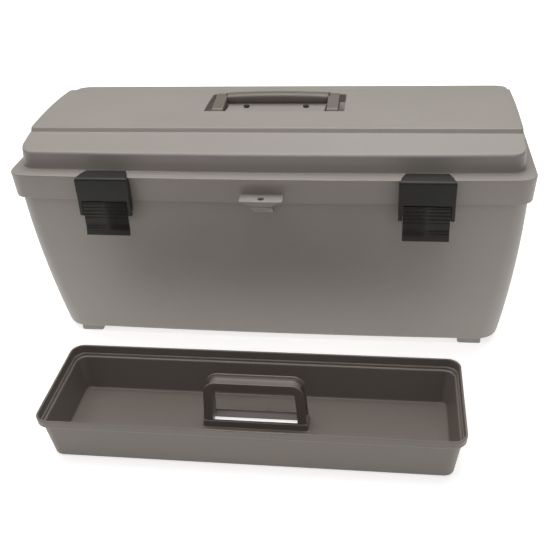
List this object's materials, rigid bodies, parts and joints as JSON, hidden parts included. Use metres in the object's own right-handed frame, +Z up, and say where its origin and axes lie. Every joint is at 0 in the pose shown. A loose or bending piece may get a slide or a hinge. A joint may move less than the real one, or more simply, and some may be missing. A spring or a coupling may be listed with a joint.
{
  "type": "toolbox with tray",
  "caption": "Portable plastic toolbox with a hinged lid, fold-down carry handle, draw latches and a loose tote tray with its own handle.",
  "frame": {"origin": "centre of the whole set's footprint (box plus the tray standing in front of it), on the floor that the feet and the tray stand on", "axes": "+X along the toolbox from its left end to its right end, +Y from the tray towards the lid hinge, +Z up"},
  "size_m": [0.584, 0.4928, 0.2732],
  "materials": {
    "shell_plastic": "satin moulded",
    "dark_plastic": "satin moulded",
    "latch_plastic": "satin moulded",
    "steel": "zinc plated"
  },
  "bodies": {
    "box": {"tub": "shell_plastic", "hinge_pin_left": "steel", "hinge_pin_right": "steel", "latch_lever_pin_left": "steel", "latch_lever_pin_right": "steel"},
    "lid": {"lid": "shell_plastic", "handle_pivot_pins": "steel", "handle_plate": "steel", "handle_screws": "steel"},
    "handle": {"carry_handle": "dark_plastic"},
    "lever_left": {"latch_lever_left": "latch_plastic", "latch_link_pins_left": "steel"},
    "hasp_left": {"latch_hasp_left": "latch_plastic"},
    "lever_right": {"latch_lever_right": "latch_plastic", "latch_link_pins_right": "steel"},
    "hasp_right": {"latch_hasp_right": "latch_plastic"},
    "tray": {"tray": "dark_plastic"}
  },
  "joints": [
    {"name": "lid_hinge", "type": "hinge", "parent": "box", "child": "lid", "pos_m": [0, 0.2414, 0.201], "axis": [-1, 0, 0], "range_deg": [0, 105]},
    {"name": "handle_fold", "type": "hinge", "parent": "lid", "child": "handle", "pos_m": [0, 0.0816, 0.262], "axis": [1, 0, 0], "range_deg": [0, 90]},
    {"name": "latch_lever_left", "type": "hinge", "parent": "box", "child": "lever_left", "pos_m": [-0.177, -0.0486, 0.2032], "axis": [-1, 0, 0], "range_deg": [0, 95]},
    {"name": "latch_hasp_left", "type": "hinge", "parent": "lever_left", "child": "hasp_left", "pos_m": [-0.177, -0.0501, 0.1945], "axis": [-1, 0, 0], "range_deg": [-107, 0]},
    {"name": "latch_lever_right", "type": "hinge", "parent": "box", "child": "lever_right", "pos_m": [0.177, -0.0486, 0.2032], "axis": [-1, 0, 0], "range_deg": [0, 95]},
    {"name": "latch_hasp_right", "type": "hinge", "parent": "lever_right", "child": "hasp_right", "pos_m": [0.177, -0.0501, 0.1945], "axis": [-1, 0, 0], "range_deg": [-107, 0]},
    {"name": "tray_lift", "type": "slide", "parent": "box", "child": "tray", "axis": [0, 0, 1], "range_m": [0, 0.3]}
  ],
  "couplings": [
    {"joint": "latch_hasp_left", "follows": "latch_lever_left", "ratio": -1.12},
    {"joint": "latch_hasp_right", "follows": "latch_lever_right", "ratio": -1.12}
  ]
}
